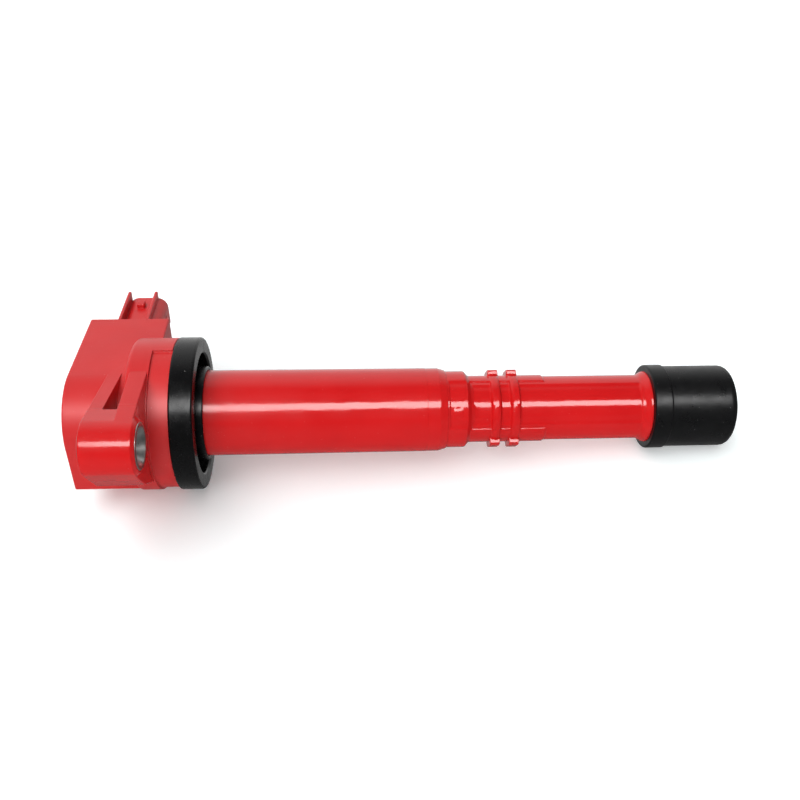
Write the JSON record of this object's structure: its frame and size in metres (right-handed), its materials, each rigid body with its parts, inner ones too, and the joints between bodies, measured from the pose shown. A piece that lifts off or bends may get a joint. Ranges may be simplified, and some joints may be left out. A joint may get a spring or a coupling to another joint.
{
  "type": "ignition coil",
  "caption": "Plug-top ignition coil: box head with bolt arm and connector hood, long coil sleeve, narrow ribbed tower and rubber plug boot.",
  "frame": {"origin": "on the coil axis, halfway along the outer band of the cover seal", "axes": "+X along the coil axis towards the spark plug, +Y the way the connector hood opens, +Z square to the flat upper side of the head"},
  "size_m": [0.1816, 0.0796, 0.042],
  "materials": {
    "red_case": "gloss moulded plastic",
    "red_sleeve": "gloss moulded plastic",
    "red_tower": "gloss moulded plastic",
    "seal_rubber": "satin moulded rubber",
    "boot_rubber": "satin silicone rubber",
    "bush_steel": "turned, zinc plated",
    "blade_tin": "tin plated",
    "module_black": "moulded epoxy",
    "sink_aluminium": "stamped",
    "brass_strip": "stamped",
    "potting_resin": "cast epoxy",
    "silicon_steel": "laminated",
    "bobbin_plastic": "glass filled",
    "copper_wire": "enamelled copper",
    "magnet_grey": "sintered",
    "damper_rubber": "foam rubber",
    "terminal_brass": "turned",
    "resistor_ceramic": "fired ceramic",
    "spring_steel": "drawn stainless wire"
  },
  "bodies": {
    "coil": {"head_case": "red_case", "coil_sleeve": "red_sleeve", "extension_tower": "red_tower", "cover_seal": "seal_rubber", "plug_boot": "boot_rubber", "bolt_bush": "bush_steel", "terminal_blade_1": "blade_tin", "terminal_blade_2": "blade_tin", "terminal_blade_3": "blade_tin", "igniter_module": "module_black", "igniter_heat_sink": "sink_aluminium", "supply_busbar": "brass_strip", "switch_busbar": "brass_strip", "hv_diode": "module_black", "head_resin": "potting_resin", "core_shield": "silicon_steel", "primary_bobbin": "bobbin_plastic", "primary_winding": "copper_wire", "sleeve_resin": "potting_resin", "secondary_bobbin": "bobbin_plastic", "secondary_winding": "copper_wire", "winding_resin": "potting_resin", "central_core": "silicon_steel", "upper_magnet": "magnet_grey", "lower_magnet": "magnet_grey", "core_dampers": "damper_rubber", "hv_terminal": "terminal_brass", "suppression_resistor": "resistor_ceramic", "resistor_caps": "terminal_brass", "spring_seat": "terminal_brass", "contact_spring": "spring_steel"},
    "plug_contact": {"spring_tip": "spring_steel"}
  },
  "joints": [
    {"name": "contact_travel", "type": "slide", "parent": "coil", "child": "plug_contact", "axis": [-1, 0, 0], "range_m": [0, 0.006], "stiffness_N_per_m": 600, "deforming": ["contact_spring"]}
  ]
}
